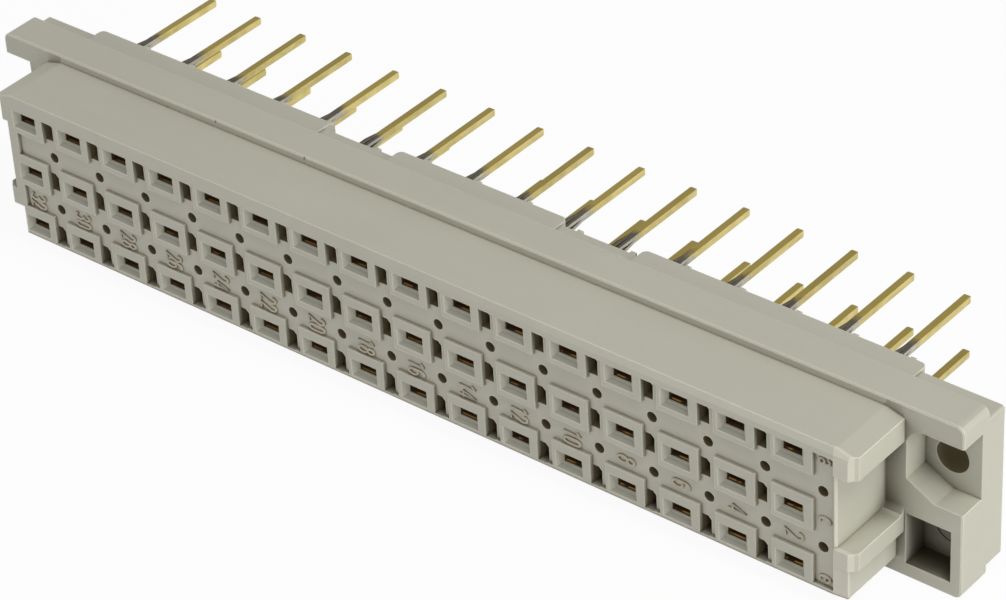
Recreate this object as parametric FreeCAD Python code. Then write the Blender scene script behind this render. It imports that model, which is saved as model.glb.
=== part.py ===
import FreeCAD, Part
import os
from FreeCAD import Vector

# Female backplane connector with three rows of contacts, in millimetres.
# X runs along the rows, +Y points through the board, +Z is the side of row a.
# The origin is the middle of the connector, on the plane that seats on the board.

# Contact grid
grid_step = 2.54
column_count = 16
row_names = ("a", "c", "e")

# Ends of the flange, and the board's screws
end_margin = 8.13
flange_ear = 5.0
fixing_from_end = 2.5
fixing_radius = 1.4
fixing_z = 2.8

# Housing, from the mating face back to the board
block_depth = 6.25
flange_thickness = 3.25
base_thickness = 1.95
standoff_height = 0.75
seat_rib_height = 0.4
gap_rib_height = 0.3

# Housing, walls above and below the contact field
top_margin = 2.02
bottom_margin = 1.12
flange_lip_above = 0.7
flange_lip_below = 1.55
base_margin = 1.65
flange_end_radius = 0.7
flange_rim_chamfer = 0.12
base_end_radius = 0.25

# Guide ridges and ribs on the two ends of the block
ridge_height = 2.52
ridge_slope_run = 1.66
ridge_slope_drop = 0.45
rib_top = -2.0
rib_height = 1.6
ridge_lead_run = 0.6
ridge_lead_depth = 0.6
left_end_inset = 1.05
right_end_inset = 1.69
left_foot_inset = 1.65
right_foot_inset = 0.65
left_corner = 0.1
right_corner = 0.26
right_foot_run = 1.28
right_foot_depth = 0.15
rib_fillet_radius = 0.7
bevel_height = 1.05
bevel_depth = 0.15

# Relief of the mating face
relief_depth = 0.32
funnel_width = 2.6
funnel_height = 1.6
funnel_depth = 0.5
pad_left = 0.32
pad_right = 0.73
pad_top = 0.88
pad_bottom = 0.5
border_left = 1.04
border_right = 0.18
border_top = 0.1
border_bottom = 0.27
core_hole_radius = 0.46
core_hole_depth = 3.0
key_slot_width = 0.88
key_slot_height = 1.65
key_slot_depth = 4.0
key_slot_corner = 0.3
key_slot_shifts = (-0.1, 0.1, -0.1)

# Contact chambers
slot_width = 1.65
slot_height = 0.7
front_wall = 0.9
chamber_width = 1.9
chamber_height = 1.5
seat_pocket_width = 2.2
seat_pocket_height = 1.8
seat_pocket_depth = 2.3

# Contacts
spring_width = 1.2
spring_thickness = 0.26
spring_gap = 0.34
spring_mouth = 0.85
spring_front_clearance = 0.9
spring_nose_length = 0.7
spring_root_length = 5.6
chamber_clearance = 0.1
body_thickness = 0.6
barb_depth = 0.15
barb_length = 0.7
shoulder_thickness = 0.6
shoulder_clearance = 0.05
press_width = 0.82
press_length = 1.0
press_taper = 1.3
groove_width = 0.42
groove_depth = 0.24
post_width = 0.6
post_length = 10.45
tip_length = 0.15
tip_width = 0.46

# Pockets in the flange ears: bored and open above, blind below
pocket_depth = 2.45
bore_pocket_floor = 0.0
bore_pocket_roof = 5.9
bore_pocket_wall = 2.35
bore_pocket_corner_run = 2.45
bore_pocket_corner_rise = 1.35
bore_pocket_roof_run = 1.9
bore_pocket_roof_drop = 1.2
blind_pocket_width = 3.9
blind_pocket_top = -1.85
blind_pocket_bottom = -6.5
pin_mark_radius = 1.4
pin_mark_z = -3.65
pin_mark_depth = 0.1

# Stand-offs, each from beside its first column to beside its last one
standoff_column_counts = (5, 4, 5)
gap_column_count = 1
standoff_starts = (-2.5, -0.5, -1.65)
standoff_ends = (2.45, 1.1, 3.6)
standoff_rise = 0.2
standoff_corner_radius = 0.5
seat_rib_width = 0.5
seat_rib_offset = 1.95
gap_rib_offset = 2.5

# How far a cutting shape runs past the solid that it cuts
overcut = 0.5

# How close two edges lie to count as in one place, and the shortest edge that counts
same_place = 0.01
shortest_edge = 0.1

column_pitch = 2 * grid_step
row_pitch = 2 * grid_step
position_count = 2 * column_count
field_length = (position_count - 1) * grid_step
ear_x = field_length / 2 + end_margin
ridge_x = ear_x - flange_ear
fixing_x = ear_x - fixing_from_end
first_column_x = -field_length / 2
block_top = row_pitch + top_margin
block_bottom = -row_pitch - bottom_margin
flange_top = block_top + flange_lip_above
flange_bottom = block_bottom - flange_lip_below
base_z = row_pitch + base_margin
standoff_z = base_z + standoff_rise

standoff_y = -seat_rib_height
base_rear_y = standoff_y - standoff_height
flange_rear_y = base_rear_y - base_thickness
flange_front_y = flange_rear_y - flange_thickness
face_y = flange_front_y - block_depth
pocket_floor_y = flange_front_y + pocket_depth
ledge_y = -seat_pocket_depth
relief_left = -ridge_x + left_end_inset + border_left
relief_right = ridge_x - right_end_inset - border_right
pad_x_low = -funnel_width / 2 - pad_left
pad_x_high = funnel_width / 2 + pad_right
pad_z_low = -funnel_height / 2 - pad_bottom
pad_z_high = funnel_height / 2 + pad_top


def column_x(column):
    """X of a contact column, the first one at -X."""
    return first_column_x + column * column_pitch


def row_z(row):
    """Z of a contact row, row a on top."""
    return ((len(row_names) - 1) / 2 - row) * row_pitch


def box(x_low, x_high, y_low, y_high, z_low, z_high):
    """Box between two corners."""
    return Part.makeBox(x_high - x_low, y_high - y_low, z_high - z_low, Vector(x_low, y_low, z_low))


def prism(points, direction):
    """Flat outline swept along a vector."""
    return Part.Face(Part.makePolygon(points + points[:1])).extrude(direction)


def frustum(y_low, width_low, height_low, y_high, width_high, height_high):
    """Four-sided taper between two centred rectangles."""
    return Part.makeWedge(-width_low / 2, y_low, -height_low / 2, -height_high / 2, -width_high / 2,
                          width_low / 2, y_high, height_low / 2, height_high / 2, width_high / 2)


def edges_on_line(shape, point, direction):
    """Edges whose ends both lie on the line through a point along a unit vector."""
    found = []
    for edge in shape.Edges:
        ends = (edge.Vertexes[0].Point, edge.Vertexes[-1].Point)
        on_line = all((end - point).cross(direction).Length < same_place for end in ends)
        if on_line and edge.Length > shortest_edge:
            found.append(edge)
    return found


def round_ends(plate, radius, half_length, z_low, z_high):
    """Plate with its four corners rounded about the Y direction."""
    corners = [Vector(x, 0, z) for x in (-half_length, half_length) for z in (z_low, z_high)]
    end_edges = [edge for corner in corners for edge in edges_on_line(plate, corner, Vector(0, 1, 0))]
    return plate.makeFillet(radius, end_edges)


def block_band(z_low, z_high, left_x, right_x, left_cut, right_cut):
    """Slice of the block; each front corner is cut back by its run in X and its depth in Y."""
    back_y = flange_rear_y
    left_run, left_depth = left_cut
    right_run, right_depth = right_cut
    outline = [
        (left_x, back_y), (left_x, face_y + left_depth), (left_x + left_run, face_y),
        (right_x - right_run, face_y), (right_x, face_y + right_depth), (right_x, back_y),
    ]
    return prism([Vector(x, y, z_low) for x, y in outline], Vector(0, 0, z_high - z_low))


def ridge_slope():
    """Wedge above the right ridge, whose top falls towards its end."""
    outer_run = ridge_slope_run + overcut
    outer_drop = ridge_slope_drop * outer_run / ridge_slope_run
    inner_x = ridge_x - ridge_slope_run
    corners = [(inner_x, block_top), (inner_x + outer_run, block_top),
               (inner_x + outer_run, block_top - outer_drop)]
    return prism([Vector(x, face_y, z) for x, z in corners], Vector(0, block_depth, 0))


def rib_fillet():
    """Hollow fillet where the top of the right rib meets the front of the flange."""
    centre_y, centre_z = flange_front_y - rib_fillet_radius, rib_top + rib_fillet_radius
    half = 0.5 ** 0.5
    inner_x = ridge_x - right_end_inset
    rib_side = Vector(inner_x, centre_y, rib_top)
    flange_side = Vector(inner_x, flange_front_y, centre_z)
    middle = Vector(inner_x, centre_y + rib_fillet_radius * half, centre_z - rib_fillet_radius * half)
    corner = Vector(inner_x, flange_front_y, rib_top)
    edges = [Part.Arc(rib_side, middle, flange_side).toShape()]
    edges += Part.makePolygon([flange_side, corner, rib_side]).Edges
    return Part.Face(Part.Wire(edges)).extrude(Vector(right_end_inset, 0, 0))


def mating_block():
    """Block with a ridge and a rib at each end, and a bevel along its top edge."""
    ridge_cut = (ridge_lead_run, ridge_lead_depth)
    left_cut = (left_corner, left_corner)
    right_cut = (right_corner, right_corner)
    foot_cut = (right_foot_run, right_foot_depth)
    ridge_bottom = block_top - ridge_height
    rib_bottom = rib_top - rib_height
    main_left, main_right = -ridge_x + left_end_inset, ridge_x - right_end_inset
    bands = [
        block_band(ridge_bottom, block_top, -ridge_x, ridge_x, ridge_cut, ridge_cut),
        block_band(rib_top, ridge_bottom, main_left, main_right, left_cut, right_cut),
        block_band(rib_bottom, rib_top, -ridge_x, ridge_x, ridge_cut, ridge_cut),
        block_band(block_bottom, rib_bottom, -ridge_x + left_foot_inset, ridge_x - right_foot_inset,
                   left_cut, foot_cut),
    ]
    block = bands[0].fuse(bands[1:]).removeSplitter()
    bevel = prism([Vector(-ridge_x, face_y, block_top - bevel_height), Vector(-ridge_x, face_y, block_top),
                   Vector(-ridge_x, face_y + bevel_depth, block_top)], Vector(2 * ridge_x, 0, 0))
    slope = ridge_slope()
    return block.cut([bevel, slope] + mirrored([slope]))


def flange_plate():
    """Flange across the whole connector, with rounded ends and a chamfered front rim."""
    plate = box(-ear_x, ear_x, flange_front_y, flange_rear_y, flange_bottom, flange_top)
    plate = round_ends(plate, flange_end_radius, ear_x, flange_bottom, flange_top)
    rim = [edge for edge in plate.Edges if abs(edge.BoundBox.YMax - flange_front_y) < same_place]
    return plate.makeChamfer(flange_rim_chamfer, rim)


def base_plate():
    """Base behind the flange, with rounded ends."""
    plate = box(-ear_x, ear_x, flange_rear_y, base_rear_y, -base_z, base_z)
    return round_ends(plate, base_end_radius, ear_x, -base_z, base_z)


def standoff(start_x, end_x, rib_end_x):
    """One block behind the base; an end is rounded unless a seat rib stands flush with it."""
    pad = box(start_x, end_x, flange_rear_y, standoff_y, -standoff_z, standoff_z)
    rounded = [start_x]
    if abs(end_x - rib_end_x) > standoff_corner_radius:
        rounded.append(end_x)
    end_edges = []
    for x in rounded:
        end_edges += edges_on_line(pad, Vector(x, standoff_y, 0), Vector(0, 0, 1))
    return pad.makeFillet(standoff_corner_radius, end_edges)


def standoffs():
    """Three blocks higher and deeper than the base, and a narrow seat rib beside each column."""
    pads = []
    raised = set()
    first = 0
    for count, start, end in zip(standoff_column_counts, standoff_starts, standoff_ends):
        last = first + count - 1
        end_x = column_x(last) + end
        rib_x = column_x(last) + seat_rib_offset
        pads.append(standoff(column_x(first) + start, end_x, rib_x + seat_rib_width))
        raised.update(range(first, last + 1 if rib_x < end_x else last))
        first = last + 1 + gap_column_count
    for column in range(column_count):
        on_pad = column in raised
        x = column_x(column) + (seat_rib_offset if on_pad else gap_rib_offset)
        y = standoff_y if on_pad else base_rear_y
        height = seat_rib_height if on_pad else gap_rib_height
        pads.append(box(x, x + seat_rib_width, y, y + height, -base_z, base_z))
    return pads


def bore_pocket():
    """Pocket round the right fixing hole, open at the front and at the end."""
    y = flange_front_y
    wall_x = fixing_x - bore_pocket_wall
    outer_x = ear_x + overcut
    floor_start = Vector(wall_x + bore_pocket_corner_run, y, bore_pocket_floor)
    wall_low = Vector(wall_x, y, bore_pocket_floor + bore_pocket_corner_rise)
    wall_high = Vector(wall_x, y, bore_pocket_roof - bore_pocket_roof_drop)
    roof_start = Vector(wall_x + bore_pocket_roof_run, y, bore_pocket_roof)
    half = 0.5 ** 0.5
    roof_middle = Vector(wall_x + bore_pocket_roof_run * (1 - half), y,
                         bore_pocket_roof - bore_pocket_roof_drop * (1 - half))
    roof_end = Vector(outer_x, y, bore_pocket_roof)
    floor_end = Vector(outer_x, y, bore_pocket_floor)
    edges = Part.makePolygon([roof_start, roof_end, floor_end, floor_start, wall_low, wall_high]).Edges
    edges.append(Part.Arc(wall_high, roof_middle, roof_start).toShape())
    return Part.Face(Part.Wire(edges)).extrude(Vector(0, pocket_depth, 0))


def ear_cuts():
    """Both pockets, the fixing hole and the round pin mark of the right ear."""
    blind_x = fixing_x - bore_pocket_wall
    hole = Part.makeCylinder(fixing_radius, base_rear_y + overcut - pocket_floor_y,
                             Vector(fixing_x, pocket_floor_y, fixing_z), Vector(0, 1, 0))
    mark = Part.makeCylinder(pin_mark_radius, pin_mark_depth,
                             Vector(fixing_x, pocket_floor_y, pin_mark_z), Vector(0, 1, 0))
    blind = box(blind_x, blind_x + blind_pocket_width, flange_front_y, pocket_floor_y,
                blind_pocket_bottom, blind_pocket_top)
    return [bore_pocket(), hole, blind, mark]


def mirrored(shapes):
    """The same shapes at the other end of the connector."""
    return [shape.mirror(Vector(0, 0, 0), Vector(1, 0, 0)) for shape in shapes]


def face_relief():
    """Shallow channels that leave a raised pad round each contact."""
    y_low, y_high = face_y, face_y + relief_depth
    z_low = block_bottom + border_bottom
    z_high = block_top - bevel_height - border_top
    channels = []
    for row in range(len(row_names) - 1):
        channel_low, channel_high = row_z(row + 1) + pad_z_high, row_z(row) + pad_z_low
        channels.append(box(relief_left, relief_right, y_low, y_high, channel_low, channel_high))
    for column in range(column_count):
        last = column == column_count - 1
        end_x = relief_right if last else column_x(column + 1) + pad_x_low
        channels.append(box(column_x(column) + pad_x_high, end_x, y_low, y_high, z_low, z_high))
    return channels


def core_holes():
    """Round blind holes between the rows, beside each column."""
    gap_centre = (pad_x_high + column_pitch + pad_x_low) / 2
    holes = []
    for column in range(column_count):
        for row in range(len(row_names) - 1):
            centre = Vector(column_x(column) + gap_centre, face_y, row_z(row) - row_pitch / 2)
            holes.append(Part.makeCylinder(core_hole_radius, core_hole_depth, centre, Vector(0, 1, 0)))
    return holes


def key_slots():
    """Blind slots between neighbouring contacts, one corner of each cut off."""
    half_height = key_slot_height / 2
    one_slot = box(0, key_slot_width, face_y, face_y + key_slot_depth, -half_height, half_height)
    corner = Vector(key_slot_width, 0, half_height)
    one_slot = one_slot.makeChamfer(key_slot_corner, edges_on_line(one_slot, corner, Vector(0, 1, 0)))
    slots = []
    for column in range(column_count - 1):
        for row, shift in enumerate(key_slot_shifts):
            slots.append(one_slot.translated(Vector(column_x(column) + pad_x_high, 0, row_z(row) + shift)))
    return slots


def chamber():
    """Space of one contact: lead-in funnel, slot, spring chamber and seat pocket."""
    slot_y, wall_y = face_y + funnel_depth, face_y + front_wall
    parts = [
        frustum(face_y, funnel_width, funnel_height, slot_y, slot_width, slot_height),
        box(-slot_width / 2, slot_width / 2, slot_y, wall_y, -slot_height / 2, slot_height / 2),
        box(-chamber_width / 2, chamber_width / 2, wall_y, ledge_y, -chamber_height / 2, chamber_height / 2),
        box(-seat_pocket_width / 2, seat_pocket_width / 2, ledge_y, 0,
            -seat_pocket_height / 2, seat_pocket_height / 2),
    ]
    return parts[0].fuse(parts[1:]).removeSplitter()


def contact_places():
    """Node name and place of every contact; only the even positions are fitted."""
    for row, letter in enumerate(row_names):
        for column in range(column_count):
            position = position_count - 2 * column
            yield "contact_%s%02d" % (letter, position), Vector(column_x(column), 0, row_z(row))


def housing():
    """One-piece moulded insulator."""
    fillet = rib_fillet()
    pieces = [mating_block(), base_plate(), fillet] + mirrored([fillet]) + standoffs()
    body = flange_plate().fuse(pieces).removeSplitter()
    ears = ear_cuts()
    one_chamber = chamber()
    chambers = [one_chamber.translated(place) for _, place in contact_places()]
    return body.cut(ears + mirrored(ears) + face_relief() + core_holes() + key_slots() + chambers)


def spring_fork():
    """Two springs bent towards each other, with a flared mouth, on a common root."""
    tip_y = face_y + front_wall + spring_front_clearance
    nose_y = tip_y + spring_nose_length
    root_y = nose_y + spring_root_length
    outer = chamber_height / 2 - chamber_clearance
    pinch = spring_gap / 2
    mouth = spring_mouth / 2
    upper = [
        (root_y, outer), (root_y - body_thickness, outer), (nose_y, pinch + spring_thickness),
        (tip_y, mouth + spring_thickness / 2), (tip_y, mouth - spring_thickness / 2), (nose_y, pinch),
        (root_y - body_thickness, outer - spring_thickness),
    ]
    lower = [(y, -z) for y, z in reversed(upper)]
    outline = [Vector(-spring_width / 2, y, z) for y, z in upper + lower]
    return prism(outline, Vector(spring_width, 0, 0)), root_y


def contact_body(root_y):
    """Flat body whose barbs touch both walls of the chamber."""
    half = chamber_width / 2
    waist = half - barb_depth
    barb_y = ledge_y - barb_length
    side = [(waist, root_y - body_thickness), (half, barb_y), (waist, barb_y), (waist, ledge_y)]
    outline = side + [(-x, y) for x, y in reversed(side)]
    return prism([Vector(x, y, -body_thickness / 2) for x, y in outline], Vector(0, 0, body_thickness))


def groove(quarter_turns, y_low):
    """V groove along one side of the press-in zone, rising until it meets the post's side."""
    slope = groove_depth / (groove_width / 2)
    section = [Vector(x, y_low, press_width / 2 - groove_depth + abs(x) * slope)
               for x in (-groove_width, 0, groove_width)]
    run = press_length + press_taper - y_low
    rise = groove_depth - (press_width - post_width) / 2
    past_end = 1 + overcut / run
    cutter = prism(section, Vector(0, run, rise) * past_end)
    cutter.rotate(Vector(0, 0, 0), Vector(0, 1, 0), 90 * quarter_turns)
    return cutter


def press_zone(y_low):
    """Square press-in zone tapering into the post, with a groove in each side."""
    zone = box(-press_width / 2, press_width / 2, y_low, press_length, -press_width / 2, press_width / 2)
    taper_end = press_length + press_taper
    taper = frustum(press_length, press_width, press_width, taper_end, post_width, post_width)
    return zone.fuse(taper).cut([groove(turn, y_low) for turn in range(4)])


def contact():
    """One stamped contact, from its spring fork to the tip of its post."""
    fork, root_y = spring_fork()
    shoulder_y = ledge_y + shoulder_thickness
    half_width = seat_pocket_width / 2 - shoulder_clearance
    half_height = seat_pocket_height / 2 - shoulder_clearance
    shoulder = box(-half_width, half_width, ledge_y, shoulder_y, -half_height, half_height)
    post_y = press_length + press_taper
    post = box(-post_width / 2, post_width / 2, post_y, post_length - tip_length,
               -post_width / 2, post_width / 2)
    tip = frustum(post_length - tip_length, post_width, post_width, post_length, tip_width, tip_width)
    pieces = [contact_body(root_y), shoulder, press_zone(shoulder_y), post, tip]
    return fork.fuse(pieces).removeSplitter()


os.makedirs("parts", exist_ok=True)
housing().exportStep("parts/housing.step")
one_contact = contact()
for name, place in contact_places():
    one_contact.translated(place).exportStep("parts/%s.step" % name)
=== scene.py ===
"""Looks of a three-row female backplane connector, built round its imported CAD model.

The housing keeps its CAD shape and gets a moulded plastic finish. The contacts, the position
numbers, the row letters and the mould marks are meshes made here, in metres, in the CAD frame:
X runs along the rows, +Y points through the board and +Z is the side of row a.
"""

import logging
import math
from dataclasses import dataclass, field
from enum import Enum
from typing import Any, Optional

import bmesh
import bpy
from mathutils import Matrix, Vector


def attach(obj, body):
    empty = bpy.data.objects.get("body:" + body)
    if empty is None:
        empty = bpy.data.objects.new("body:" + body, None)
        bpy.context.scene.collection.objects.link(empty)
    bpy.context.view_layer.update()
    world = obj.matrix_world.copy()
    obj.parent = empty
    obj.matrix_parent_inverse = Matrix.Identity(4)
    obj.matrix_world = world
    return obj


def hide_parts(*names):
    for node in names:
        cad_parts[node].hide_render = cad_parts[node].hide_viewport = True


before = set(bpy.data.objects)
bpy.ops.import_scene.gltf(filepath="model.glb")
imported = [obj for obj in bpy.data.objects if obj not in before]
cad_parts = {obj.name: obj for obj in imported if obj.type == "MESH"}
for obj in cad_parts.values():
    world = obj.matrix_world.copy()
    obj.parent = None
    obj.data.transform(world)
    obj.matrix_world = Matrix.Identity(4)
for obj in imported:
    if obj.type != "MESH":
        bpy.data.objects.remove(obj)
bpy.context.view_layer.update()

log = logging.getLogger("connector")

MM = 0.001
WHITE = (1.0, 1.0, 1.0, 1.0)
Colour = tuple[float, float, float]
Point = tuple[float, float]
Span = tuple[float, float]


# ---------------------------------------------------------------- node graphs


class Graph:
    """A node tree that is written with one method for every kind of node."""

    def __init__(self, tree: bpy.types.NodeTree) -> None:
        """Keeps the tree that the nodes go into."""
        self.tree = tree

    def add(self, kind: str, settings: Optional[dict[str, Any]] = None,
            inputs: Optional[dict[Any, Any]] = None) -> bpy.types.Node:
        """Adds one node.

        Args:
            kind: the node's type name.
            settings: the node's properties, set before its sockets.
            inputs: what goes into each socket, by name or number: a number, a tuple or a Value.

        Returns:
            The new node.
        """
        node = self.tree.nodes.new(kind)
        for key, value in (settings or {}).items():
            setattr(node, key, value)
        for key, value in (inputs or {}).items():
            socket = node.inputs[key]
            if isinstance(value, Value):
                self.tree.links.new(value.socket, socket)
            else:
                socket.default_value = value
        return node

    def value(self, kind: str, output: Any = 0, settings: Optional[dict[str, Any]] = None,
              inputs: Optional[dict[Any, Any]] = None) -> "Value":
        """Adds one node and wraps one of its outputs.

        Args:
            kind: the node's type name.
            output: name or number of the output that is wanted.
            settings: as in add.
            inputs: as in add.

        Returns:
            The wrapped output.
        """
        return Value(self, self.add(kind, settings, inputs).outputs[output])


class Value:
    """One output socket that takes part in Python expressions on numbers."""

    def __init__(self, graph: Graph, socket: bpy.types.NodeSocket) -> None:
        """Keeps the socket and the graph that it belongs to."""
        self.graph = graph
        self.socket = socket

    def _math(self, operation: str, *operands: Any) -> "Value":
        """Adds a Math node for one operation on the operands."""
        return self.graph.value("ShaderNodeMath", 0, {"operation": operation},
                                dict(enumerate(operands)))

    def __add__(self, other: Any) -> "Value":
        """Sum."""
        return self._math("ADD", self, other)

    def __radd__(self, other: Any) -> "Value":
        """Sum, the number first."""
        return self._math("ADD", other, self)

    def __sub__(self, other: Any) -> "Value":
        """Difference."""
        return self._math("SUBTRACT", self, other)

    def __rsub__(self, other: Any) -> "Value":
        """Difference, the number first."""
        return self._math("SUBTRACT", other, self)

    def __mul__(self, other: Any) -> "Value":
        """Product."""
        return self._math("MULTIPLY", self, other)

    def __rmul__(self, other: Any) -> "Value":
        """Product, the number first."""
        return self._math("MULTIPLY", other, self)

    def __truediv__(self, other: Any) -> "Value":
        """Quotient."""
        return self._math("DIVIDE", self, other)

    def __gt__(self, other: Any) -> "Value":
        """1 where this is the greater, else 0."""
        return self._math("GREATER_THAN", self, other)

    def __lt__(self, other: Any) -> "Value":
        """1 where this is the smaller, else 0."""
        return self._math("LESS_THAN", self, other)

    def __mod__(self, other: Any) -> "Value":
        """Rest of a division, never below 0."""
        return self._math("FLOORED_MODULO", self, other)

    def __abs__(self) -> "Value":
        """Size without its sign."""
        return self._math("ABSOLUTE", self)

    def floor(self) -> "Value":
        """Whole part."""
        return self._math("FLOOR", self)

    def step(self, low: float, high: float, start: float = 0.0, end: float = 1.0) -> "Value":
        """Soft step from start to end as this goes from low to high."""
        return self.graph.value(
            "ShaderNodeMapRange", 0, {"interpolation_type": "SMOOTHSTEP", "clamp": True},
            {0: self, 1: low, 2: high, 3: start, 4: end})


class Shader(Graph):
    """The node graph of one material, with the patterns that the finishes share."""

    bevel_samples = 6
    openness_samples = 8

    def __init__(self, name: str) -> None:
        """Makes an empty material of that name."""
        self.material = bpy.data.materials.new(name)
        self.material.use_nodes = True
        super().__init__(self.material.node_tree)
        self.tree.nodes.clear()
        self.place = self.scaled(self.value("ShaderNodeTexCoord", "Object"), 1.0 / MM)

    def scaled(self, vector: Any, factor: Any) -> Value:
        """Vector or colour times one number."""
        return self.value("ShaderNodeVectorMath", 0, {"operation": "SCALE"},
                          {0: vector, "Scale": factor})

    def stretched(self, factors: tuple[float, float, float]) -> Value:
        """Object coordinates in millimetres, times one factor along each axis."""
        return self.value("ShaderNodeVectorMath", 0, {"operation": "MULTIPLY"},
                          {0: self.place, 1: factors})

    def parts(self) -> tuple[Value, Value, Value]:
        """X, Y and Z of the surface in millimetres."""
        node = self.add("ShaderNodeSeparateXYZ", None, {0: self.place})
        return tuple(Value(self, output) for output in node.outputs)

    def noise(self, stretch: tuple[float, float, float], detail: float = 2.0) -> Value:
        """Smooth noise about 0.5.

        Args:
            stretch: cycles a millimetre along each axis.
            detail: octaves of finer noise.

        Returns:
            The noise, from 0 to 1.
        """
        return self.value("ShaderNodeTexNoise", 0, {"noise_dimensions": "3D"},
                          {"Vector": self.stretched(stretch), "Scale": 1.0, "Detail": detail})

    def blend(self, factor: Any, first: Any, second: Any) -> Value:
        """Mixes two colours.

        Args:
            factor: share of the second colour.
            first: colour or Value.
            second: colour or Value.

        Returns:
            The mixed colour.
        """
        def ready(colour: Any) -> Any:
            """Adds the alpha that a colour socket wants."""
            return colour if isinstance(colour, Value) else (*colour, 1.0)

        return self.value("ShaderNodeMix", 2,
                          {"data_type": "RGBA", "blend_type": "MIX", "clamp_factor": True},
                          {0: factor, 6: ready(first), 7: ready(second)})

    def edge(self, radius: float) -> tuple[Value, Value]:
        """Rounded normal near edges, and how far it turns from the flat one.

        Args:
            radius: reach of the rounding in millimetres.

        Returns:
            The rounded normal, and a mask that rises from 0 on a flat face.
        """
        rounded = self.value("ShaderNodeBevel", 0, {"samples": self.bevel_samples},
                             {"Radius": radius * MM})
        flat = self.value("ShaderNodeNewGeometry", "True Normal")
        alike = self.value("ShaderNodeVectorMath", "Value", {"operation": "DOT_PRODUCT"},
                           {0: rounded, 1: flat})
        return rounded, 1 - alike

    def openness(self, reach: float, alone: bool = True) -> Value:
        """1 in the open, less in a corner or a narrow gap.

        Args:
            reach: how far it feels, in millimetres.
            alone: True if only the piece itself counts.

        Returns:
            The openness.
        """
        return self.value("ShaderNodeAmbientOcclusion", "AO",
                          {"samples": self.openness_samples, "only_local": alone},
                          {"Distance": reach * MM})

    def facing(self, axis: int) -> Value:
        """Part of the flat face's normal along one axis."""
        flat = self.value("ShaderNodeNewGeometry", "True Normal")
        return Value(self, self.add("ShaderNodeSeparateXYZ", None, {0: flat}).outputs[axis])

    def bump(self, height: Value, depth: float, normal: Optional[Value] = None) -> Value:
        """Bumps the surface.

        Args:
            height: pattern from 0 to 1.
            depth: height of the pattern in millimetres.
            normal: normal to start from, if it isn't the surface's own.

        Returns:
            The bumped normal.
        """
        inputs = {"Strength": 1.0, "Distance": depth * MM, "Height": height}
        if normal is not None:
            inputs["Normal"] = normal
        return self.value("ShaderNodeBump", 0, None, inputs)

    def surface(self, **inputs: Any) -> bpy.types.Material:
        """Ends the graph in a Principled shader.

        Args:
            inputs: what goes into its sockets, an underscore for a space in a name.

        Returns:
            The finished material.
        """
        named = {key.replace("_", " "): value for key, value in inputs.items()}
        shader = self.value("ShaderNodeBsdfPrincipled", 0, None, named)
        self.add("ShaderNodeOutputMaterial", None, {"Surface": shader})
        return self.material


# ---------------------------------------------------------------- finishes


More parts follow.
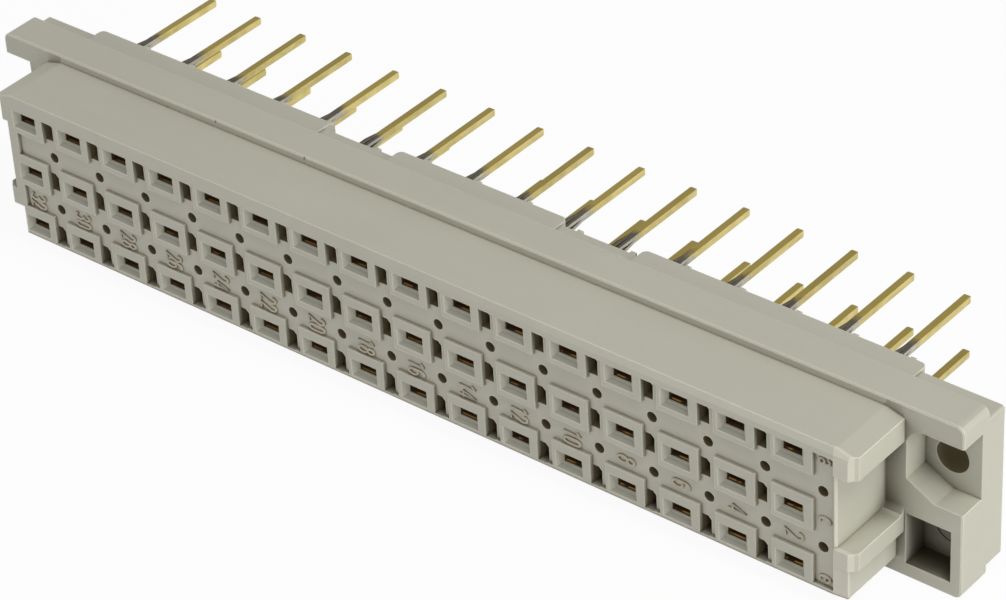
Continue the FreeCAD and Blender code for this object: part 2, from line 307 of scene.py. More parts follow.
@dataclass(frozen=True)
class MouldedPlastic:
    """Pebble-grey plastic with a fine mould grain and painted shade inside its bores.

    Sizes are in millimetres, in the CAD frame, and colours are linear. A share or shade says how
    far a tone goes, a turn is a bound on part of a face's normal, and steps are the ends of a soft
    step. Glints, glows and the tones of local_tones are painted to match the photo.
    """

    name: str = "pebble_grey_plastic"
    colour: Colour = (0.455, 0.448, 0.368)
    # painted highlight on edges and on the front border at the right end
    painted_highlight: Colour = (0.80, 0.75, 0.63)
    # painted shade where faces meet in a corner and along the lower rim
    painted_shade: Colour = (0.20, 0.155, 0.09)
    # painted shade inside the holes
    bore_shade: Colour = (0.020, 0.014, 0.007)
    # painted shade deep in cavities and pockets
    cavity_shade_colour: Colour = (0.045, 0.034, 0.014)
    # near_glow, far_glow, screw_glow: painted glow on the walls of the holes, in place of light
    # thrown back inside
    near_glow: Colour = (0.034, 0.026, 0.012)
    far_glow: Colour = (0.005, 0.003, 0.001)
    screw_glow: Colour = (0.026, 0.020, 0.007)
    # dim painted glow between the painted glints
    dim_painted_tone: Colour = (0.009, 0.004, 0.001)
    glint: Colour = (0.24, 0.125, 0.022)
    black: Colour = (0.0, 0.0, 0.0)

    # edge_*: painted highlight along edges
    edge_radius: float = 0.14
    edge_share: float = 0.75
    edge_steps: Span = (0.004, 0.08)
    edge_open: Span = (0.6, 0.9)
    # corner_*: painted shade where faces meet in a corner
    corner_reach: float = 0.30
    corner_share: float = 0.65
    corner_steps: Span = (0.42, 0.86)
    # cavity_*: painted shade deep in cavities
    cavity_reach: float = 4.0
    cavity_share: float = 0.95
    cavity_steps: Span = (0.05, 0.67)
    clouds_tone: float = 0.10
    flow_tone: float = 0.05
    speckle_tone: float = 0.10

    face_y: float = -12.6
    front_depth: float = 0.35
    pad_skin: float = 0.02
    flange_y: float = -6.35
    flange_skin: float = 0.05
    first_x: float = -39.37
    pitch: float = 5.08
    field_x: float = 40.7
    field_low: float = -6.0
    field_high: float = 6.4

    # border: painted highlight; rim, recess, pocket, shelf, funnel: painted shade; slope: painted
    # light and shade; strip: painted highlight on the bevel
    border_x: float = 40.62
    border_share: float = 0.30
    rim_z: float = -6.08
    rim_share: float = 0.6
    level_turn: float = 0.85
    slope_shade: float = 0.28
    end_x: float = 40.9
    recess_turn: float = -0.5
    recess_shade: float = 0.22
    pocket_shade: float = 0.14
    shelf_shade: float = 0.20
    strip_up: float = 0.1
    strip_front: float = -0.9
    strip_ends: Span = (-5.0, 40.0)
    strip_gain: float = 0.17
    funnel_half: float = 1.32
    funnel_turn: float = 0.3
    funnel_shade: float = 0.30

    # bore_*, hole_start: painted shade inside the holes
    bore_start: float = 0.50
    hole_start: float = 0.34
    bore_fade: float = 0.12
    bore_end: float = 10.3
    bore_share: float = 0.92
    # glow_steps, glint_*, flicker_*: painted glow and painted glints
    glow_steps: Span = (0.4, 1.4)
    glint_depth: float = 0.74
    glint_width: float = 0.10
    flicker_steps: Span = (0.42, 0.55)
    flicker_x: float = 50.0
    flicker_shares: Span = (0.15, 0.85)
    # screw_*: painted shade and painted glow in the screw bores
    screw_x: float = 45.0
    screw_z: float = 2.8
    screw_reach: float = 1.46
    screw_start: float = 8.73
    screw_end: float = 11.42
    screw_share: float = 0.92

    roughness: float = 0.5
    bore_roughness: float = 0.45
    clouds_roughness: float = 0.12
    speckle_roughness: float = 0.15
    grain_depth: float = 0.005
    grain_share: float = 0.6
    refraction: float = 1.5
    specular: float = 0.4

    def off_grid(self, place: Value) -> Value:
        """Distance from the nearest row or column of contacts, from a place counted off one."""
        return abs((place + self.pitch / 2) % self.pitch - self.pitch / 2)

    def glints(self, shader: Shader, depth: Value) -> Value:
        """Gold glints painted in the contact bores, where the photo shows the springs.

        Args:
            shader: graph that the nodes go into.
            depth: distance behind the mating face.

        Returns:
            The painted glow and painted glints on the bores' walls.
        """
        x, _, _ = shader.parts()
        line = 1 - abs(depth - self.glint_depth).step(self.glint_width / 3, self.glint_width)
        flicker = shader.noise((1.1, 0.3, 0.6), 2.0).step(*self.flicker_steps)
        flicker = flicker * x.step(-self.flicker_x, self.flicker_x, *self.flicker_shares)
        return shader.blend(line * flicker * shader.facing(2), self.dim_painted_tone, self.glint)

    def bores(self, shader: Shader) -> tuple[Value, Value]:
        """Masks and tones of what is seen inside the holes.

        Args:
            shader: graph that the nodes go into.

        Returns:
            Mask of the painted shade on the walls inside the contact bores, core holes, key slots
            and screw bores, and the faint painted glow on them.
        """
        x, y, z = shader.parts()
        depth = y - self.face_y
        inside = (abs(x) < self.field_x) * (z > self.field_low) * (z < self.field_high)
        fitted = self.off_grid(x - self.first_x) < self.funnel_half
        start = self.hole_start + fitted * (self.bore_start - self.hole_start)
        mask = (depth - start).step(0.0, self.bore_fade) * (depth < self.bore_end) * inside
        # painted glow, brighter near the mouth of each hole
        bare = shader.blend(depth.step(*self.glow_steps), self.near_glow, self.far_glow)
        away = abs(abs(x) - self.screw_x)
        screw = (away < self.screw_reach) * (abs(z - self.screw_z) < self.screw_reach)
        screw = screw * (depth > self.screw_start) * (depth < self.screw_end)
        glow = shader.blend(fitted, bare, self.glints(shader, depth))
        glow = shader.blend(screw, shader.blend(mask, self.black, glow), self.screw_glow)
        return mask + screw * self.screw_share, glow

    def local_tones(self, shader: Shader) -> tuple[Value, Value, Value, Value]:
        """Tones painted by place or by the way a face turns, to match the photo.

        Args:
            shader: graph that the nodes go into.

        Returns:
            Mask of the painted highlight on the border at the right end, mask of the painted shade
            on the lower rim, extra painted shade in the recesses and pockets of the ends, and
            change of tone on the ridges' slopes, the funnels' floors and the bevel, which is
            painted light and shade.
        """
        x, y, z = shader.parts()
        forward, up = shader.facing(1), shader.facing(2)
        level = up > self.level_turn
        front = y < self.face_y + self.front_depth
        ahead = y < self.flange_y + self.flange_skin
        # painted shade in the pockets and recesses of the ends
        pocket = (1 - ahead) * (z < 0.0) * (self.pocket_shade + level * self.shelf_shade)
        recess = ahead * (forward < self.recess_turn) * self.recess_shade
        shade = (abs(x) > self.end_x) * (recess + pocket)
        # painted highlight on the bevel, stronger towards +X
        strip = (up > self.strip_up) * (forward < self.strip_front) * (z > self.field_high)
        column = self.off_grid(x - self.first_x) < self.funnel_half
        row = self.off_grid(z) < self.funnel_half
        # painted shade on the funnels' floors
        funnel = (up > self.funnel_turn) * front * column * row * (y > self.face_y + self.pad_skin)
        change = strip * x.step(*self.strip_ends, 0.0, self.strip_gain)
        # painted shade on slopes that face +X, painted highlight on slopes that face -X
        change = change - shader.facing(0) * level * self.slope_shade - funnel * self.funnel_shade
        # border: painted highlight; rim: painted shade
        return (x > self.border_x) * front, (z < self.rim_z) * front, shade, change

    def build(self) -> bpy.types.Material:
        """Makes the material."""
        shader = Shader(self.name)
        clouds = shader.noise((0.11, 0.16, 0.16), 3.0)
        flow = shader.noise((0.05, 0.9, 0.9), 2.0)
        speckle = shader.noise((9.0, 14.0, 14.0), 2.0)
        grain = shader.noise((26.0, 26.0, 26.0), 3.0)
        rounded, turned = shader.edge(self.edge_radius)
        corner = shader.openness(self.corner_reach, False)
        cavity = shader.openness(self.cavity_reach)
        bores, glow = self.bores(shader)
        border, rim, shade, change = self.local_tones(shader)
        # change carries painted light and shade from local_tones; the noises add random tone
        tone = 1 + change + (clouds - 0.5) * self.clouds_tone
        tone = tone + (flow - 0.5) * self.flow_tone + (speckle - 0.5) * self.speckle_tone
        # painted highlight along edges
        edges = turned.step(*self.edge_steps) * corner.step(*self.edge_open)
        # painted shade where faces meet in a corner
        corner_shade = 1 - corner.step(*self.corner_steps)
        # painted shade deep in cavities, more in the ends' pockets and recesses
        cavity_shade = 1 - (cavity - shade).step(*self.cavity_steps)
        # painted highlight on the right-end border and along edges
        colour = shader.blend(border * self.border_share, self.colour, self.painted_highlight)
        colour = shader.blend(edges * self.edge_share, colour, self.painted_highlight)
        # painted shade in each corner, along the lower rim and deep in cavities
        colour = shader.blend(corner_shade * self.corner_share, colour, self.painted_shade)
        colour = shader.blend(rim * self.rim_share, colour, self.painted_shade)
        colour = shader.blend(cavity_shade * self.cavity_share, colour, self.cavity_shade_colour)
        # painted shade inside the holes
        colour = shader.blend(bores * self.bore_share, shader.scaled(colour, tone), self.bore_shade)
        rough = self.roughness + bores * self.bore_roughness
        rough = rough + (clouds - 0.5) * self.clouds_roughness
        rough = rough + (speckle - 0.5) * self.speckle_roughness
        height = grain * self.grain_share + speckle * (1 - self.grain_share)
        normal = shader.bump(height, self.grain_depth, rounded)
        return shader.surface(Base_Color=colour, Roughness=rough, Normal=normal,
                              IOR=self.refraction, Specular_IOR_Level=self.specular,
                              Emission_Color=glow, Emission_Strength=1.0)


@dataclass(frozen=True)
class PlatedContact:
    """Contact metal: gold on the springs and the posts, tin on the press-in zones.

    Sizes are in millimetres and colours are linear; steps are the ends of a soft step. Upward
    faces carry painted shade in place of a darker reflection from above, downward faces and
    grooves carry painted shade, and the springs carry painted glints.
    """

    name: str = "plated_contact"
    gold: Colour = (0.66, 0.56, 0.235)
    deep_gold: Colour = (0.40, 0.31, 0.085)
    tin: Colour = (0.50, 0.49, 0.43)
    dull_tin: Colour = (0.24, 0.225, 0.185)
    # painted shade on upward faces, in place of a darker reflection from above
    shaded_top_gold: Colour = (0.255, 0.192, 0.042)
    shaded_top_tin: Colour = (0.068, 0.058, 0.038)
    # painted glints on the springs
    painted_spring_glint: Colour = (0.16, 0.062, 0.014)
    # painted shade in the grooves
    dim_painted_tone: Colour = (0.020, 0.015, 0.008)
    black: Colour = (0.0, 0.0, 0.0)
    tin_start: float = -3.0
    tin_rise: float = 0.3
    tin_end: float = 2.9
    tin_fade: float = 1.4
    own_end: float = 1.2
    patches_end: float = 2.4
    spring_end: float = -4.0
    spring_glint_fade: float = 0.5
    spring_glint_steps: Span = (0.42, 0.62)
    # groove_*: painted shade in the grooves; above_*: painted shade on upward faces; below_* and
    # the underside share: painted shade on downward faces
    groove_reach: float = 0.5
    groove_steps: Span = (0.52, 0.96)
    above_steps: Span = (0.2, 0.9)
    above_share: float = 0.94
    below_steps: Span = (0.3, 0.9)
    underside_shade: float = 0.35
    worn_steps: Span = (0.3, 0.75)
    patches_worn: float = 0.5
    drawing_worn: float = 0.3
    drawing_tone: float = 0.35
    own_tone: float = 0.14
    roughness: float = 0.38
    drawing_roughness: float = 0.12
    tin_roughness: float = 0.16
    drawing_depth: float = 0.002
    edge_radius: float = 0.035

    def build(self) -> bpy.types.Material:
        """Makes the material."""
        shader = Shader(self.name)
        _, y, _ = shader.parts()
        own = shader.value("ShaderNodeAttribute", "Fac", {"attribute_name": "tone"})
        drawing = shader.noise((18.0, 0.7, 18.0), 2.0)
        patches = shader.noise((1.4, 0.7, 1.4), 2.0)
        end = self.tin_end + (own - 0.5) * self.own_end + (patches - 0.5) * self.patches_end
        tinned = 1 - (y - end).step(-self.tin_fade / 2, self.tin_fade / 2)
        gilt = 1 - (y - self.tin_start).step(0.0, self.tin_rise) * tinned
        upward = shader.facing(2)
        # painted shade on upward faces and on downward faces
        above = upward.step(*self.above_steps) * self.above_share
        below = (0 - upward).step(*self.below_steps)
        # painted shade in the grooves, from occlusion
        grooves = 1 - shader.openness(self.groove_reach, False).step(*self.groove_steps)
        worn = patches.step(*self.worn_steps) * self.patches_worn
        worn = worn + (drawing - 0.5) * self.drawing_worn
        gold = shader.blend(above, shader.blend(worn, self.gold, self.deep_gold), self.shaded_top_gold)
        tin = shader.blend(above, shader.blend(worn, self.tin, self.dull_tin), self.shaded_top_tin)
        # drawing lines and own tone are random; downward faces get painted shade
        streaks_and_underside_shade = 1 + (drawing - 0.5) * self.drawing_tone + (own - 0.5) * self.own_tone
        streaks_and_underside_shade = streaks_and_underside_shade - below * self.underside_shade
        colour = shader.scaled(shader.blend(gilt, tin, gold), streaks_and_underside_shade)
        colour = shader.blend(grooves, colour, self.dim_painted_tone)
        # painted glints on the springs, deep in the housing
        glint = (self.spring_end - y).step(0.0, self.spring_glint_fade) * patches.step(*self.spring_glint_steps)
        painted_spring_glint = shader.blend(glint, self.black, self.painted_spring_glint)
        rough = self.roughness + (drawing - 0.5) * self.drawing_roughness
        rough = rough + (1 - gilt) * self.tin_roughness
        rounded, _ = shader.edge(self.edge_radius)
        normal = shader.bump(drawing, self.drawing_depth, rounded)
        return shader.surface(Base_Color=colour, Roughness=rough, Metallic=1.0, Normal=normal,
                              Emission_Color=painted_spring_glint, Emission_Strength=1.0)


@dataclass(frozen=True)
class PaleFloor:
    """Pale floor that looks white to the camera and keeps the object's shadow."""

    name: str = "pale_floor"
    colour: Colour = (0.8, 0.8, 0.8)
    white_share: float = 0.94
    cloud_tone: float = 0.01

    def build(self) -> bpy.types.Material:
        """Makes the material."""
        shader = Shader(self.name)
        cloud = shader.noise((0.02, 0.02, 0.02), 2.0)
        tone = shader.scaled(self.colour, 1 + (cloud - 0.5) * self.cloud_tone)
        matte = shader.value("ShaderNodeBsdfDiffuse", 0, None, {"Color": tone})
        white = shader.value("ShaderNodeEmission", 0, None, {"Color": WHITE, "Strength": 1.0})
        seen = seen_directly(shader)
        mixed = shader.value("ShaderNodeMixShader", 0, None,
                             {0: seen * self.white_share, 1: matte, 2: white})
        shader.add("ShaderNodeOutputMaterial", None, {"Surface": mixed})
        return shader.material


def seen_directly(graph: Graph) -> Value:
    """1 for camera, glossy and transmission rays, 0 for the light that falls on the object."""
    rays = graph.add("ShaderNodeLightPath")
    camera, glossy, through = (Value(graph, rays.outputs[name]) for name in
                               ("Is Camera Ray", "Is Glossy Ray", "Is Transmission Ray"))
    return (camera + glossy + through) > 0.5


# ---------------------------------------------------------------- mesh helpers


def new_piece(name: str, mesh: bpy.types.Mesh, material: bpy.types.Material) -> bpy.types.Object:
    """Puts a mesh into the scene as a piece with one material.

    Args:
        name: name of the piece.
        mesh: its mesh, in metres, in place.
        material: its finish.

    Returns:
        The new object, at the origin.
    """
    mesh.name = name
    mesh.materials.clear()
    mesh.materials.append(material)
    piece = bpy.data.objects.new(name, mesh)
    bpy.context.collection.objects.link(piece)
    return piece


def settle(piece: bpy.types.Object) -> bpy.types.Object:
    """Turns a piece's evaluated modifiers into its plain mesh.

    Args:
        piece: object whose modifiers are ready.

    Returns:
        The same object, with no modifiers.
    """
    graph = bpy.context.evaluated_depsgraph_get()
    mesh = bpy.data.meshes.new_from_object(piece.evaluated_get(graph))
    mesh.name = piece.name
    piece.modifiers.clear()
    piece.data = mesh
    return piece


class NodesModifier:
    """Geometry Nodes on one piece: a tree with named inputs that ends in real faces."""

    def __init__(self, piece: bpy.types.Object, name: str,
                 sizes: dict[str, tuple[str, Any]]) -> None:
        """Makes the tree and its inputs.

        Args:
            piece: object that the modifier goes on.
            name: name of the tree.
            sizes: socket type and value of each named input.
        """
        tree = bpy.data.node_groups.new(name, "GeometryNodeTree")
        self.graph = Graph(tree)
        tree.interface.new_socket("Geometry", in_out="INPUT", socket_type="NodeSocketGeometry")
        tree.interface.new_socket("Geometry", in_out="OUTPUT", socket_type="NodeSocketGeometry")
        self.keys = {}
        for label, (kind, _) in sizes.items():
            socket = tree.interface.new_socket(label, in_out="INPUT", socket_type=kind)
            self.keys[label] = socket.identifier
        self.entry = self.graph.add("NodeGroupInput")
        self.values = {label: value for label, (_, value) in sizes.items()}
        self.piece = piece
        self.name = name

    def given(self, label: str) -> Value:
        """One of the tree's named inputs."""
        return Value(self.graph, self.entry.outputs[label])

    def finish(self, geometry: Value, material: Value) -> bpy.types.Object:
        """Ends the tree, sets its inputs and makes the piece a plain mesh.

        Args:
            geometry: what the tree has made.
            material: its finish.

        Returns:
            The piece.
        """
        real = self.graph.value("GeometryNodeRealizeInstances", 0, None, {0: geometry})
        dressed = self.graph.value("GeometryNodeSetMaterial", 0, None,
                                   {"Geometry": real, "Material": material})
        self.graph.add("NodeGroupOutput", None, {0: dressed})
        modifier = self.piece.modifiers.new(self.name, "NODES")
        modifier.node_group = self.graph.tree
        for label, value in self.values.items():
            modifier[self.keys[label]] = value
        return settle(self.piece)


# ---------------------------------------------------------------- sub-assemblies


@dataclass
class Housing:
    """The one-piece moulded insulator, in its CAD shape."""

    node: str = "housing"
    finish: MouldedPlastic = field(default_factory=MouldedPlastic)

    def build(self) -> bpy.types.Object:
        """Gives the CAD node its finish.

        Returns:
            The CAD node's object.
        """
        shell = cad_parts[self.node]
        material = self.finish.build()
        if not shell.material_slots:
            shell.data.materials.append(material)
        for slot in shell.material_slots:
            slot.material = material
        log.info("housing: CAD node %s with %s", self.node, material.name)
        return shell


@dataclass
class ContactSet:
    """All the contacts: one bevelled contact, repeated on the grid.

    Sizes are in millimetres and angles in radians. Each contact leans a little its own way, and
    shrink is the share of its length that keeps it inside the CAD box.
    """

    rows: int = 3
    columns: int = 16
    pitch: float = 5.08
    first_x: float = -39.37
    sample: str = "contact_a32"
    merge: float = 0.001
    flat: float = math.radians(1)
    edge: float = 0.02
    edge_segments: int = 2
    sharp: float = math.radians(25)
    lean: float = math.radians(0.25)
    shrink: float = 0.0001
    seed: int = 7
    finish: PlatedContact = field(default_factory=PlatedContact)

    def one_contact(self) -> bpy.types.Mesh:
        """Copies the first contact, merges it, softens its edges and moves it to the grid's origin.

        Returns:
            The mesh of one contact.
        """
        shape = bmesh.new()
        shape.from_mesh(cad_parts[self.sample].data)
        bmesh.ops.remove_doubles(shape, verts=shape.verts, dist=self.merge * MM)
        bmesh.ops.dissolve_limit(shape, angle_limit=self.flat, verts=shape.verts,
                                 edges=shape.edges)
        sharp = [edge for edge in shape.edges if edge.calc_face_angle(0.0) > self.sharp]
        bmesh.ops.bevel(shape, geom=sharp, offset=self.edge * MM, offset_type="OFFSET",
                        segments=self.edge_segments, profile=0.5, affect="EDGES",
                        clamp_overlap=True)
        bmesh.ops.recalc_face_normals(shape, faces=shape.faces)
        bmesh.ops.scale(shape, verts=shape.verts, vec=(1.0, 1.0 - self.shrink, 1.0))
        place = Vector((self.first_x, 0.0, self.pitch * (self.rows - 1) / 2)) * MM
        bmesh.ops.translate(shape, verts=shape.verts, vec=-place)
        mesh = bpy.data.meshes.new("one_contact")
        shape.to_mesh(mesh)
        shape.free()
        return mesh

    def build(self) -> bpy.types.Object:
        """Repeats the contact at every fitted place.

        Returns:
            The piece, in place of the CAD contacts.
        """
        material = self.finish.build()
        piece = new_piece("contact_set", self.one_contact(), material)
        nodes = NodesModifier(piece, "contact_grid", {
            "Columns": ("NodeSocketInt", self.columns),
            "Rows": ("NodeSocketInt", self.rows),
            "Pitch": ("NodeSocketFloat", self.pitch * MM),
            "First X": ("NodeSocketFloat", self.first_x * MM),
            "Lean": ("NodeSocketFloat", self.lean),
            "Seed": ("NodeSocketInt", self.seed),
            "Finish": ("NodeSocketMaterial", material),
        })
        graph = nodes.graph
        columns, rows, pitch = nodes.given("Columns"), nodes.given("Rows"), nodes.given("Pitch")
        points = graph.value("GeometryNodeMeshLine", 0, {"mode": "OFFSET"},
                             {"Count": columns * rows})
        index = graph.value("GeometryNodeInputIndex")
        row = (index / columns).floor()
        column = index - row * columns
        place = graph.value("ShaderNodeCombineXYZ", 0, None, {
            0: nodes.given("First X") + column * pitch,
            2: ((rows - 1) / 2 - row) * pitch,
        })
        points = graph.value("GeometryNodeSetPosition", 0, None,
                             {"Geometry": points, "Position": place})
        points = graph.value("GeometryNodeStoreNamedAttribute", 0,
                             {"data_type": "FLOAT", "domain": "POINT"},
                             {"Geometry": points, "Name": "tone",
                              "Value": self.random(graph, nodes.given("Seed"))})
        lean = nodes.given("Lean")
        turn = graph.value("ShaderNodeCombineXYZ", 0, None, {
            0: (self.random(graph, nodes.given("Seed") + 1) - 0.5) * lean,
            2: (self.random(graph, nodes.given("Seed") + 2) - 0.5) * lean,
        })
        contacts = graph.value("GeometryNodeInstanceOnPoints", 0, None, {
            "Points": points, "Instance": nodes.given("Geometry"), "Rotation": turn})
        nodes.finish(contacts, nodes.given("Finish"))
        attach(piece, "root")
        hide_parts(*[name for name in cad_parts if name.startswith("contact_")])
        log.info("contacts: %d in one piece, %d faces", self.rows * self.columns,
                 len(piece.data.polygons))
        return piece

    @staticmethod
    def random(graph: Graph, seed: Value) -> Value:
        """Random number from 0 to 1 for each contact."""
        return graph.value("FunctionNodeRandomValue", 1, {"data_type": "FLOAT"}, {"Seed": seed})


class Glyph(Enum):
    """The characters that the housing carries."""

    ZERO = "0"
    ONE = "1"
    TWO = "2"
    THREE = "3"
    FOUR = "4"
    SIX = "6"
    EIGHT = "8"
    A = "a"
    C = "c"
    E = "e"


def arc(centre: Point, radii: Point, start: float, end: float, steps: int = 10) -> list[Point]:
    """Points along part of an ellipse.

    Args:
        centre: middle of the ellipse.
        radii: its half width and half height.
        start: first angle in degrees, 0 at the right, rising anticlockwise.
        end: last angle.
        steps: number of runs between them.

    Returns:
        The points.
    """
    angles = [math.radians(start + (end - start) * i / steps) for i in range(steps + 1)]
    return [(centre[0] + radii[0] * math.cos(angle), centre[1] + radii[1] * math.sin(angle))
            for angle in angles]


def strokes(glyph: Glyph) -> list[list[Point]]:
    """Pen strokes of one character in a box from (0, 0) to (1, 1), its top at 1.

    Args:
        glyph: the character.

    Returns:
        One list of points for each stroke; a closed stroke ends where it starts.
    """
    bowl = arc((0.5, 0.3), (0.5, 0.3), 0, 360, 20)
    shapes = {
        Glyph.ZERO: [arc((0.5, 0.72), (0.5, 0.28), 0, 180)
                     + arc((0.5, 0.28), (0.5, 0.28), 180, 360) + [(1.0, 0.72)]],
        Glyph.ONE: [[(0.1, 0.8), (0.55, 1.0), (0.55, 0.0)]],
        Glyph.TWO: [arc((0.5, 0.74), (0.5, 0.26), 170, -30) + [(0.0, 0.0), (1.0, 0.0)]],
        Glyph.THREE: [arc((0.48, 0.77), (0.46, 0.23), 160, -80) + [(0.4, 0.54)],
                      [(0.4, 0.54)] + arc((0.48, 0.27), (0.52, 0.27), 80, -160)],
        Glyph.FOUR: [[(0.72, 0.0), (0.72, 1.0), (0.0, 0.28), (1.0, 0.28)]],
        Glyph.SIX: [bowl, arc((0.58, 0.66), (0.58, 0.34), 65, 180) + [(0.0, 0.3)]],
        Glyph.EIGHT: [bowl, arc((0.5, 0.8), (0.42, 0.2), 0, 360, 20)],
        Glyph.A: [arc((0.45, 0.75), (0.45, 0.25), 160, 0) + [(0.9, 0.0)],
                  [(0.9, 0.5)] + arc((0.45, 0.25), (0.45, 0.25), 60, 300) + [(0.9, 0.08)]],
        Glyph.C: [arc((0.5, 0.5), (0.5, 0.5), 50, 310, 14)],
        Glyph.E: [[(0.0, 0.52), (1.0, 0.52)] + arc((0.5, 0.5), (0.5, 0.5), 0, 310, 18)],
    }
    return shapes[glyph]


@dataclass
class Lettering:
    """Position numbers under the middle row and row letters at the right end, in relief.

    The characters lie on the floor of the face relief, turned a quarter turn so that their tops
    point towards +X. Sizes are in millimetres.
    """

    contacts: ContactSet
    # the finish's corner tones paint shade round the strokes
    finish: MouldedPlastic = field(default_factory=lambda: MouldedPlastic(
        name="raised_lettering", colour=(0.43, 0.395, 0.30), edge_share=0.1, corner_reach=0.36,
        corner_share=0.85))
    floor_y: float = -12.33
    merge: float = 0.004
    stroke: float = 0.125
    section_points: int = 10
    number_height: float = 1.55
    number_start: float = -0.55
    number_top: float = -1.98
    number_width: float = 0.52
    single_width: float = 0.62
    single_top: float = -2.2
    advance: float = 0.76
    letter_start: float = 39.3
    letter_height: float = 0.95
    letter_width: float = 0.52
    letter_shift: float = 0.26

    def placed(self, glyph: Glyph, x: float, z: float, height: float,
               width: float) -> list[list[Vector]]:
        """Strokes of one character on the relief floor.

        Args:
            glyph: the character.
            x: X of its foot.
            z: Z of its left side.
            height: its height, along +X.
            width: its width, along -Z.

        Returns:
            The strokes, in metres.
        """
        return [[Vector((x + v * height, self.floor_y, z - u * width)) * MM for u, v in line]
                for line in strokes(glyph)]

    def lines(self) -> list[list[Vector]]:
        """Strokes of every number and letter."""
        found = []
        for column in range(self.contacts.columns):
            text = str(2 * (self.contacts.columns - column))
            x = self.contacts.first_x + column * self.contacts.pitch + self.number_start
            single = len(text) == 1
            top = self.single_top if single else self.number_top
            width = self.single_width if single else self.number_width
            for place, character in enumerate(text):
                found += self.placed(Glyph(character), x, top - place * self.advance,
                                     self.number_height, width)
        for row, glyph in enumerate((Glyph.A, Glyph.C, Glyph.E)):
            z = (1 - row) * (self.contacts.pitch + self.letter_shift)
            found += self.placed(glyph, self.letter_start, z + self.letter_width / 2,
                                 self.letter_height, self.letter_width)
        return found

    def build(self) -> bpy.types.Object:
        """Draws the strokes as edges and sweeps a round section along them.

        Returns:
            The piece.
        """
        shape = bmesh.new()
        for line in self.lines():
            points = [shape.verts.new(point) for point in line]
            for first, second in zip(points, points[1:]):
                shape.edges.new((first, second))
        bmesh.ops.remove_doubles(shape, verts=shape.verts, dist=self.merge * MM)
        mesh = bpy.data.meshes.new("position_marks")
        shape.to_mesh(mesh)
        shape.free()
        material = self.finish.build()
        piece = new_piece("position_marks", mesh, material)
        nodes = NodesModifier(piece, "raised_strokes", {
            "Stroke Radius": ("NodeSocketFloat", self.stroke * MM),
            "Section Points": ("NodeSocketInt", self.section_points),
            "Finish": ("NodeSocketMaterial", material),
        })
        graph = nodes.graph
        paths = graph.value("GeometryNodeMeshToCurve", 0, None, {"Mesh": nodes.given("Geometry")})
        section = graph.value("GeometryNodeCurvePrimitiveCircle", 0, {"mode": "RADIUS"}, {
            "Resolution": nodes.given("Section Points"), "Radius": nodes.given("Stroke Radius")})
        swept = graph.value("GeometryNodeCurveToMesh", 0, None,
                            {"Curve": paths, "Profile Curve": section, "Fill Caps": True})
        nodes.finish(swept, nodes.given("Finish"))
        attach(piece, "root")
        log.info("lettering: %d faces", len(piece.data.polygons))
        return piece


@dataclass
class MouldTraces:
    """Slivers of flash and small nicks left by the mould on the front of the flange.

    Each is a thin closed blade that stands a little proud of the step above the block. Its
    colour, far darker than the plastic, is painted shade. Places are X, lower Z and upper Z.
    Sizes are in millimetres.
    """

    places: tuple[tuple[float, float, float], ...] = (
        (40.80, 6.75, 7.28), (-28.92, 6.98, 7.22), (-23.60, 7.55, 7.72), (-14.16, 7.55, 7.74))
    front_y: float = -6.35
    proud: float = 0.07
    sunk: float = 0.04
    width: float = 0.13
    taper: float = 0.45
    # colour far darker than the plastic: painted shade
    finish: MouldedPlastic = field(default_factory=lambda: MouldedPlastic(
        name="shaded_mould_flash", colour=(0.20, 0.16, 0.11), painted_highlight=(0.40, 0.34, 0.26), edge_share=0.2))

    def build(self) -> bpy.types.Object:
        """Makes the blades.

        Returns:
            The piece.
        """
        shape = bmesh.new()
        middle = self.front_y - self.proud / 2 + self.sunk / 2
        for x, low, high in self.places:
            size = Matrix.Diagonal((self.width, self.proud + self.sunk, high - low, 1.0))
            place = Matrix.Translation(Vector((x, middle, (low + high) / 2)))
            made = bmesh.ops.create_cube(shape, size=1.0, matrix=Matrix.Scale(MM, 4) @ place @ size)
            for vert in made["verts"]:
                if vert.co.y < self.front_y * MM:
                    vert.co.x = (x + (vert.co.x / MM - x) * self.taper) * MM
        mesh = bpy.data.meshes.new("mould_traces")
        shape.to_mesh(mesh)
        shape.free()
        piece = new_piece("mould_traces", mesh, self.finish.build())
        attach(piece, "root")
        log.info("mould traces: %d blades", len(self.places))
        return piece


# ---------------------------------------------------------------- studio


@dataclass(frozen=True)
class Lamp:
    """One soft area lamp; places and sizes in metres, power in watts."""

    name: str
    place: tuple[float, float, float]
    size: float
    power: float
    colour: Colour = (1.0, 1.0, 1.0)
    target: tuple[float, float, float] = (0.0, -0.005, 0.0)

    def build(self) -> bpy.types.Object:
        """Puts the lamp into the scene, facing its target."""
        data = bpy.data.lights.new(self.name, "AREA")
        data.shape = "DISK"
        data.size = self.size
        data.energy = self.power
        data.color = self.colour
        lamp = bpy.data.objects.new(self.name, data)
        lamp.location = self.place
        lamp.rotation_mode = "QUATERNION"
        forward = Vector(self.target) - Vector(self.place)
        lamp.rotation_quaternion = forward.to_track_quat("-Z", "Y")
        bpy.context.collection.objects.link(lamp)
        return lamp


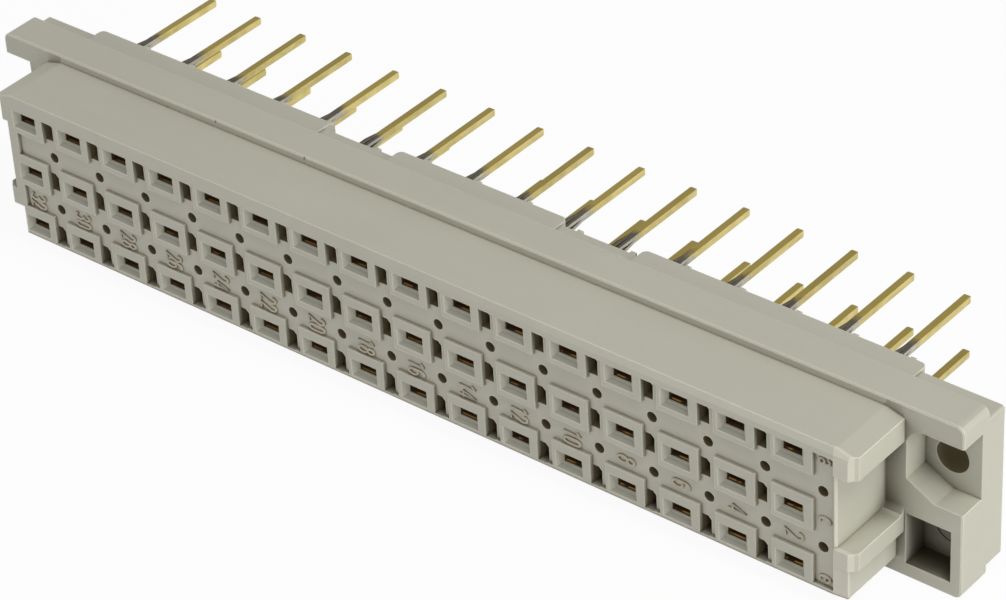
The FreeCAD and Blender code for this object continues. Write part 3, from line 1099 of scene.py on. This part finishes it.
@dataclass
class Studio:
    """Camera at the photograph's angle, soft lamps, a pale floor and a white surround.

    The camera's target, distance, lens and sensor and the floor's height are in millimetres, its
    angles in degrees, its clip distances and the floor's radius in metres.
    """

    target: tuple[float, float, float] = (5.22706, -6.0, 1.63980)
    distance: float = 299.5158
    azimuth: float = 40.90407
    elevation: float = 35.181757
    roll: float = -3.53165
    lens: float = 139.52025
    sensor: float = 36.0
    clip: Span = (0.01, 20.0)
    floor_z: float = -7.75
    floor_radius: float = 3.0
    floor_segments: int = 96
    ambient: float = 0.22
    floor_finish: PaleFloor = field(default_factory=PaleFloor)
    lamps: tuple[Lamp, ...] = (
        Lamp("top_lamp", (0.22, -0.05, 0.42), 0.30, 1.38),
        Lamp("side_lamp", (0.42, -0.01, 0.085), 0.20, 0.80),
        Lamp("front_lamp", (-0.24, -0.56, 0.05), 0.50, 1.50, (1.0, 0.965, 0.995)),
    )

    def camera(self) -> bpy.types.Object:
        """Makes the scene's camera."""
        azimuth, elevation = math.radians(self.azimuth), math.radians(self.elevation)
        forward = Vector((-math.sin(azimuth) * math.cos(elevation),
                          math.cos(azimuth) * math.cos(elevation), -math.sin(elevation)))
        data = bpy.data.cameras.new("view_camera")
        data.lens = self.lens
        data.sensor_width = self.sensor
        data.clip_start, data.clip_end = self.clip
        camera = bpy.data.objects.new("view_camera", data)
        camera.rotation_mode = "QUATERNION"
        level = forward.to_track_quat("-Z", "Y")
        tilt = Matrix.Rotation(math.radians(self.roll), 3, "Z")
        camera.rotation_quaternion = level @ tilt.to_quaternion()
        camera.location = (Vector(self.target) - forward * self.distance) * MM
        bpy.context.collection.objects.link(camera)
        bpy.context.scene.camera = camera
        return camera

    def floor(self) -> bpy.types.Object:
        """Makes the floor under the flange's lower edge."""
        shape = bmesh.new()
        bmesh.ops.create_circle(shape, cap_ends=True, segments=self.floor_segments,
                                radius=self.floor_radius,
                                matrix=Matrix.Translation((0.0, 0.0, self.floor_z * MM)))
        mesh = bpy.data.meshes.new("studio_floor")
        shape.to_mesh(mesh)
        shape.free()
        floor = new_piece("studio_floor", mesh, self.floor_finish.build())
        return floor

    def surround(self) -> bpy.types.World:
        """White to the camera and in reflections, and soft grey light for everything else."""
        world = bpy.data.worlds.new("white_surround")
        world.use_nodes = True
        world.node_tree.nodes.clear()
        graph = Graph(world.node_tree)
        strength = self.ambient + seen_directly(graph) * (1.0 - self.ambient)
        light = graph.value("ShaderNodeBackground", 0, None, {"Color": WHITE, "Strength": strength})
        graph.add("ShaderNodeOutputWorld", None, {"Surface": light})
        bpy.context.scene.world = world
        return world

    def build(self) -> None:
        """Sets up the whole studio."""
        self.camera()
        self.floor()
        self.surround()
        for lamp in self.lamps:
            lamp.build()
        bpy.context.scene.view_settings.view_transform = "Standard"
        log.info("studio: camera, floor and %d lamps", len(self.lamps))


def main() -> None:
    """Builds the studio, then the housing, the contacts, the lettering and the mould traces."""
    logging.basicConfig(level=logging.INFO, format="%(name)s %(message)s")
    Studio().build()
    Housing().build()
    contacts = ContactSet()
    contacts.build()
    Lettering(contacts).build()
    MouldTraces().build()


if __name__ == "__main__":
    main()
